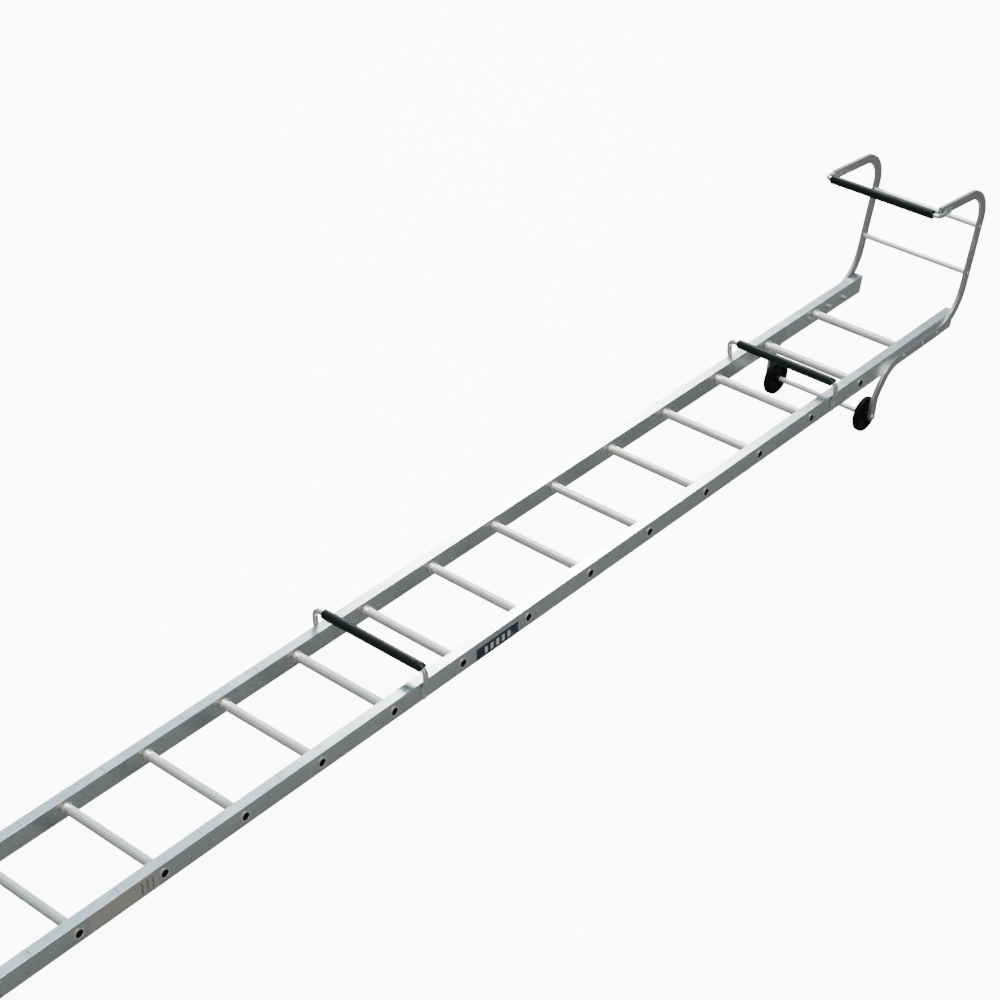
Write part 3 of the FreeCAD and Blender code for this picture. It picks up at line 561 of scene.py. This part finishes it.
# ---- End plugs and feet ----
# Grey-black moulded plugs close the stiles' upper ends; grooved rubber shoes are pushed on the lower
# ends and pick up dirt.
plug_plastic = surface("plug_plastic", 0.0, (0.12, 0.12, 0.125), (0.09, 0.09, 0.095),
                       (900, 900, 900), (0.45, 0.6), 0.05, (30.0, 0.3), (0.06, pale_dust), 0.35)
foot_rubber = surface("foot_rubber", 0.0, (0.030, 0.030, 0.030), (0.018, 0.018, 0.018),
                      (650, 650, 650), (0.6, 0.8), 0.12, (24.0, 0.5), (0.08, pale_dust), 0.3)
for side in ("right", "left"):
    finished_copy("end_plug_" + side, "end_plug_finished_" + side, 0.25, plug_plastic)
    finished_copy("foot_" + side, "foot_finished_" + side, 0.5, foot_rubber)

# ---- Padded bearing bars ----
# Bent aluminium tube, its ends pressed flat and riveted to the stiles' outer webs, with a length of
# black soft plastic hose over the middle.
drawn_tube = surface("drawn_tube", 1.0, (0.76, 0.765, 0.75), (0.69, 0.69, 0.67),
                     (60, 420, 420), (0.26, 0.32), 0.015, (20.0, 0.12), (0.05, pale_dust))
black_hose = surface("black_hose", 0.0, (0.007, 0.0095, 0.0095), (0.004, 0.005, 0.005),
                     (10, 520, 520), (0.26, 0.38), 0.05, (40.0, 0.25), (0.004, pale_dust), 0.14)
for number in (1, 2, 3):
    finished_copy("bearing_bar_%d" % number, "bearing_bar_finished_%d" % number, 0.2, drawn_tube)
    finished_copy("bearing_sleeve_%d" % number, "bearing_hose_%d" % number, 0.4, black_hose)

# ---- Ridge hook ----
# One flat aluminium bar each side, bent on edge, with drawn tubes riveted between the two legs and a
# hose-covered tube across the tips.
satin_tube = surface("satin_tube", 0.85, (0.95, 0.95, 0.92), (0.88, 0.88, 0.85),
                     (60, 420, 420), (0.46, 0.54), 0.015, (20.0, 0.10), (0.03, pale_dust))
hook_aluminium = surface("hook_aluminium", 1.0, (0.60, 0.575, 0.555), (0.47, 0.455, 0.44),
                         (700, 60, 60), (0.30, 0.46), 0.05, (18.0, 0.5), (0.08, pale_dust))
for side in ("right", "left"):
    finished_copy("hook_bar_" + side, "hook_bar_finished_" + side, 0.9, hook_aluminium)
for height in ("lower", "upper"):
    finished_copy("cross_tube_" + height, "cross_tube_finished_" + height, 0.3, satin_tube)
finished_copy("tip_bar", "tip_bar_finished", 0.2, drawn_tube)
finished_copy("tip_sleeve", "tip_hose", 0.4, black_hose)

# ---- Rivets ----
# Blind rivets through the straps: a low domed head with the stub of its broken mandrel in the middle.
# Two hold each strap end of the bearing bars, and two each leg of the bar at the hook's tip.
zinc = surface("zinc", 1.0, (0.72, 0.73, 0.74), (0.55, 0.55, 0.56),
               (500, 500, 500), (0.24, 0.42), 0.05, (90.0, 0.5), (0.08, pale_dust))


def turned_mesh(name, outline, around):
    """Turns an outline of (x, radius) points about the X axis; both its ends lie on the axis."""
    work = bmesh.new()
    rings = []
    for x, radius in outline:
        if radius < 1e-9:
            rings.append([work.verts.new((x, 0, 0))])
            continue
        rings.append([work.verts.new((x, radius * math.cos(2 * math.pi * i / around),
                                      radius * math.sin(2 * math.pi * i / around))) for i in range(around)])
    for here, there in zip(rings, rings[1:]):
        for i in range(around):
            j = (i + 1) % around
            corners = [here[i % len(here)], there[i % len(there)], there[j % len(there)], here[j % len(here)]]
            work.faces.new(list(dict.fromkeys(corners)))
    bmesh.ops.recalc_face_normals(work, faces=work.faces)
    mesh = bpy.data.meshes.new(name)
    work.to_mesh(mesh)
    work.free()
    shade_smooth(mesh, 38)
    return mesh


set_at_places, set_in, set_out = new_tree("set_at_places", [
    ("Fastener", "NodeSocketObject"), ("Seed", "NodeSocketInt"), ("Material", "NodeSocketMaterial")])
set_shape = add_node(set_at_places, "GeometryNodeObjectInfo")
set_copies = add_node(set_at_places, "GeometryNodeInstanceOnPoints")
set_side = add_node(set_at_places, "GeometryNodeInputNamedAttribute", data_type="FLOAT")
set_side.inputs["Name"].default_value = "half_turn"
set_turn = add_node(set_at_places, "FunctionNodeRandomValue", data_type="FLOAT")
set_turn.inputs[3].default_value = 2 * math.pi
set_axis = add_node(set_at_places, "ShaderNodeCombineXYZ")
set_real = add_node(set_at_places, "GeometryNodeRealizeInstances")
set_coat = add_node(set_at_places, "GeometryNodeSetMaterial")
set_at_places.links.new(set_in.outputs["Fastener"], set_shape.inputs["Object"])
set_at_places.links.new(set_in.outputs["Geometry"], set_copies.inputs["Points"])
set_at_places.links.new(set_shape.outputs["Geometry"], set_copies.inputs["Instance"])
set_at_places.links.new(set_in.outputs["Seed"], set_turn.inputs["Seed"])
set_at_places.links.new(set_turn.outputs[1], set_axis.inputs["X"])
set_at_places.links.new(set_side.outputs[0], set_axis.inputs["Z"])
set_at_places.links.new(set_axis.outputs[0], set_copies.inputs["Rotation"])
set_at_places.links.new(set_copies.outputs[0], set_real.inputs[0])
set_at_places.links.new(set_real.outputs[0], set_coat.inputs["Geometry"])
set_at_places.links.new(set_in.outputs["Material"], set_coat.inputs["Material"])
set_at_places.links.new(set_coat.outputs[0], set_out.inputs[0])


def fasteners(name, shape, places, nodes):
    """Sets one fastener shape, made for the right-hand side, at places on both sides of the ladder."""
    points = bpy.data.meshes.new(name + "_places")
    both = places + [(-x, y, z) for x, y, z in places]
    points.from_pydata(both, [], [])
    turn = points.attributes.new("half_turn", "FLOAT", "POINT")
    turn.data.foreach_set("value", [0.0] * len(places) + [math.pi] * len(places))
    pattern = bpy.data.objects.new(name + ".pattern", shape)
    bpy.context.scene.collection.objects.link(pattern)
    piece = grown(name, points, set_at_places, {"Fastener": pattern, "Seed": 3, "Material": zinc})
    bpy.data.objects.remove(pattern)
    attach(piece, "ladder")
    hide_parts(*nodes)
    return piece


rivet_head = 4.6 * MM
rivet_rise = 2.0 * MM
rivet_shape = turned_mesh("rivet_shape", [
    (rivet_rise * 0.55, 0), (rivet_rise * 0.55, 1.0 * MM), (rivet_rise * 0.62, 1.25 * MM),
    (rivet_rise * 1.0, 1.5 * MM), (rivet_rise * 0.97, 2.3 * MM), (rivet_rise * 0.78, 3.4 * MM),
    (rivet_rise * 0.45, 4.2 * MM), (rivet_rise * 0.15, rivet_head), (0, rivet_head - 0.2 * MM),
    (0, 2.4 * MM), (-4.5 * MM, 2.4 * MM), (-4.5 * MM, 0)], 20)
strap_rivet_places = []
for number in (1, 2, 3):
    low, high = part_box("bearing_rivets_%d" % number)
    for z in (low.z + rivet_head, high.z - rivet_head):
        strap_rivet_places.append((high.x - rivet_rise, (low.y + high.y) / 2, z))
low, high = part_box("tip_rivets")
strap_rivet_places.append((high.x - rivet_rise, high.y - rivet_head, low.z + rivet_head))
strap_rivet_places.append((high.x - rivet_rise, low.y + rivet_head, high.z - rivet_head))
fasteners("strap_rivets", rivet_shape, strap_rivet_places,
          ["bearing_rivets_1", "bearing_rivets_2", "bearing_rivets_3", "tip_rivets"])

# ---- Hook bolts and nuts ----
# Three cup-headed bolts a side hold the hook bar to its stile, with a washer and nut on the inner web.
bolt_low, bolt_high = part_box("hook_bolts_right")
bolt_head = 8.0 * MM
bolt_rise = 3.6 * MM
bolt_shank = 4.0 * MM
thread_root = 3.4 * MM
thread_pitch = 1.25 * MM
thread_turns = 11
dome_steps = 8
middle_bolt_share = 104 / 184
bolt_z = (bolt_low.z + bolt_high.z) / 2
first_bolt_y = bolt_low.y + bolt_head
last_bolt_y = bolt_high.y - bolt_head
bolt_rows = [first_bolt_y, first_bolt_y + (last_bolt_y - first_bolt_y) * middle_bolt_share, last_bolt_y]
head_face = bolt_high.x - bolt_rise
bolt_line = [(bolt_rise, 0)]
for step in range(1, dome_steps + 1):
    lean = math.radians(90 * step / dome_steps)
    bolt_line.append((bolt_rise * math.cos(lean), bolt_head * math.sin(lean)))
bolt_line.append((0, bolt_shank))
bolt_reach = head_face - bolt_low.x
thread_from = bolt_reach - 14 * MM
bolt_line.append((-thread_from, bolt_shank))
for turn in range(thread_turns):
    bolt_line.append((-thread_from - (turn + 0.5) * thread_pitch, thread_root))
    bolt_line.append((-thread_from - (turn + 1.0) * thread_pitch, bolt_shank))
bolt_line += [(-bolt_reach, 3.2 * MM), (-bolt_reach, 0)]
fasteners("hook_bolt_set", turned_mesh("bolt_shape", bolt_line, 24),
          [(head_face, y, bolt_z) for y in bolt_rows], ["hook_bolts_right", "hook_bolts_left"])

washer_mm, nut_mm, across_mm, hole_mm = 1.6, 6.5, 13.0, 4.05
corner_per_flat = 1.155
chamfer_share = 0.965
nut_around = 36


def ring_of(work, x_mm, radii_mm):
    """A ring of points about the X axis, one for each radius."""
    angles = [2 * math.pi * index / len(radii_mm) for index in range(len(radii_mm))]
    return [work.verts.new((x_mm * MM, radius * math.cos(angle) * MM, radius * math.sin(angle) * MM))
            for radius, angle in zip(radii_mm, angles)]


def hexagon_radii(reach):
    """Radii round a hexagon with clipped corners, scaled by reach; below 1 its corners are cut further."""
    corner_cut = across_mm / 2 * corner_per_flat * (chamfer_share if reach < 1 else 1.0)
    radii = []
    for index in range(nut_around):
        flat = math.radians(((math.degrees(2 * math.pi * index / nut_around) + 30) % 60) - 30)
        radii.append(min(across_mm / 2 / math.cos(flat), corner_cut) * reach)
    return radii


nut_mesh = bpy.data.meshes.new("nut_shape")
work = bmesh.new()
washer_outline = [(0.0, hole_mm), (0.0, 8.3), (-0.2, 8.5), (-washer_mm + 0.2, 8.5), (-washer_mm, 8.3),
                  (-washer_mm, hole_mm)]
join_rings(work, [ring_of(work, x, [radius] * nut_around) for x, radius in washer_outline])
nut_rings = [ring_of(work, x, hexagon_radii(reach)) for x, reach in (
    (-washer_mm, 0.95), (-washer_mm - 0.5, 1.0),
    (-washer_mm - nut_mm + 0.7, 1.0), (-washer_mm - nut_mm, 0.93))]
nut_rings += [ring_of(work, x, [hole_mm] * nut_around) for x in (-washer_mm - nut_mm, -washer_mm)]
join_rings(work, nut_rings)
bmesh.ops.recalc_face_normals(work, faces=work.faces)
work.to_mesh(nut_mesh)
work.free()
shade_smooth(nut_mesh, 25)
nut_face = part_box("hook_nuts_right")[1].x
fasteners("hook_nut_set", nut_mesh, [(nut_face, y, bolt_z) for y in bolt_rows],
          ["hook_nuts_right", "hook_nuts_left"])

# ---- Axle and wheels ----
# A plated axle through both hook bars carries a spacer tube and two black plastic hubs with solid
# rubber tyres; pressed domed caps hold it.
tyre_rubber = surface("tyre_rubber", 0.0, (0.007, 0.007, 0.007), (0.004, 0.004, 0.004),
                      (420, 420, 420), (0.58, 0.76), 0.10, (30.0, 0.4), (0.004, pale_dust), 0.08)
hub_plastic = surface("hub_plastic", 0.0, (0.008, 0.008, 0.009), (0.005, 0.005, 0.006),
                      (900, 900, 900), (0.42, 0.56), 0.04, (40.0, 0.3), (0.004, pale_dust), 0.12)
finished_copy("axle_rod", "axle_rod_finished", 0.3, zinc)
finished_copy("axle_spacer", "axle_spacer_finished", 0.3, satin_tube)
for side in ("right", "left"):
    finished_copy("axle_cap_" + side, "axle_cap_finished_" + side, 0.2, zinc)
    finished_copy("axle_washer_" + side, "axle_washer_finished_" + side, 0.2, zinc)
    finished_copy("tyre_" + side, "tyre_finished_" + side, 0.3, tyre_rubber)
    finished_copy("hub_" + side, "hub_finished_" + side, 0.4, hub_plastic)

# ---- Labels ----
# Two printed stickers on the right-hand stile. The dark one has five plain upright bars, the pale one a
# few short rules near its upper end; neither has any lettering.


def striped_label(name, node, ground, mark, bar_pitch, bar_share, along_share, height_share, gloss,
                  up_share=0.0):
    """A sticker with plain marks in a field centred on it, or moved up it by a share of half its length."""
    low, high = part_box(node)
    middle = (low + high) / 2
    middle.y += (high.y - low.y) / 2 * up_share
    material = bpy.data.materials.new(name)
    material.use_nodes = True
    tree = material.node_tree
    shader = tree.nodes["Principled BSDF"]
    place = add_node(tree, "ShaderNodeTexCoord")
    centred = add_node(tree, "ShaderNodeMapping")
    centred.inputs["Location"].default_value = (-middle.x, -middle.y, -middle.z)
    parts = add_node(tree, "ShaderNodeSeparateXYZ")
    tree.links.new(place.outputs["Object"], centred.inputs["Vector"])
    tree.links.new(centred.outputs["Vector"], parts.inputs[0])
    inside = None
    for axis, reach in (("Y", (high.y - low.y) / 2 * along_share),
                        ("Z", (high.z - low.z) / 2 * height_share)):
        size = add_node(tree, "ShaderNodeMath", operation="ABSOLUTE")
        within = add_node(tree, "ShaderNodeMath", operation="LESS_THAN")
        within.inputs[1].default_value = reach
        tree.links.new(parts.outputs[axis], size.inputs[0])
        tree.links.new(size.outputs[0], within.inputs[0])
        if inside is None:
            inside = within
            continue
        both = add_node(tree, "ShaderNodeMath", operation="MULTIPLY")
        tree.links.new(inside.outputs[0], both.inputs[0])
        tree.links.new(within.outputs[0], both.inputs[1])
        inside = both
    wave = add_node(tree, "ShaderNodeMath", operation="PINGPONG")
    wave.inputs[1].default_value = bar_pitch / 2
    bars = add_node(tree, "ShaderNodeMath", operation="LESS_THAN")
    bars.inputs[1].default_value = bar_pitch / 2 * bar_share
    tree.links.new(parts.outputs["Y"], wave.inputs[0])
    tree.links.new(wave.outputs[0], bars.inputs[0])
    printed = add_node(tree, "ShaderNodeMath", operation="MULTIPLY")
    tree.links.new(inside.outputs[0], printed.inputs[0])
    tree.links.new(bars.outputs[0], printed.inputs[1])
    ink = add_node(tree, "ShaderNodeMix", data_type="RGBA")
    ink.inputs[6].default_value = (*ground, 1)
    ink.inputs[7].default_value = (*mark, 1)
    tree.links.new(printed.outputs[0], ink.inputs[0])
    worn = add_node(tree, "ShaderNodeGroup", node_tree=handling_scuffs)
    worn.inputs["Size"].default_value = 55.0
    worn.inputs["Amount"].default_value = 0.30
    tree.links.new(place.outputs["Object"], worn.inputs["Position"])
    rubbed = laid_over(tree, ink.outputs[2], (0.45, 0.46, 0.46), worn.outputs["Mask"])
    tree.links.new(rubbed, shader.inputs["Base Color"])
    dull = add_node(tree, "ShaderNodeMapRange")
    dull.inputs["To Min"].default_value = gloss
    dull.inputs["To Max"].default_value = gloss + 0.3
    tree.links.new(worn.outputs["Mask"], dull.inputs["Value"])
    tree.links.new(dull.outputs["Result"], shader.inputs["Roughness"])
    return material


wear(frame["nodes"]["maker_label"],
     striped_label("dark_sticker", "maker_label", (0.005, 0.012, 0.040), (0.62, 0.63, 0.63),
                   0.022, 0.5, 0.68, 0.56, 0.28))
wear(frame["nodes"]["data_label"],
     striped_label("pale_sticker", "data_label", (0.36, 0.345, 0.315), (0.12, 0.115, 0.11),
                   0.016, 0.24, 0.20, 0.62, 0.40, 0.66))
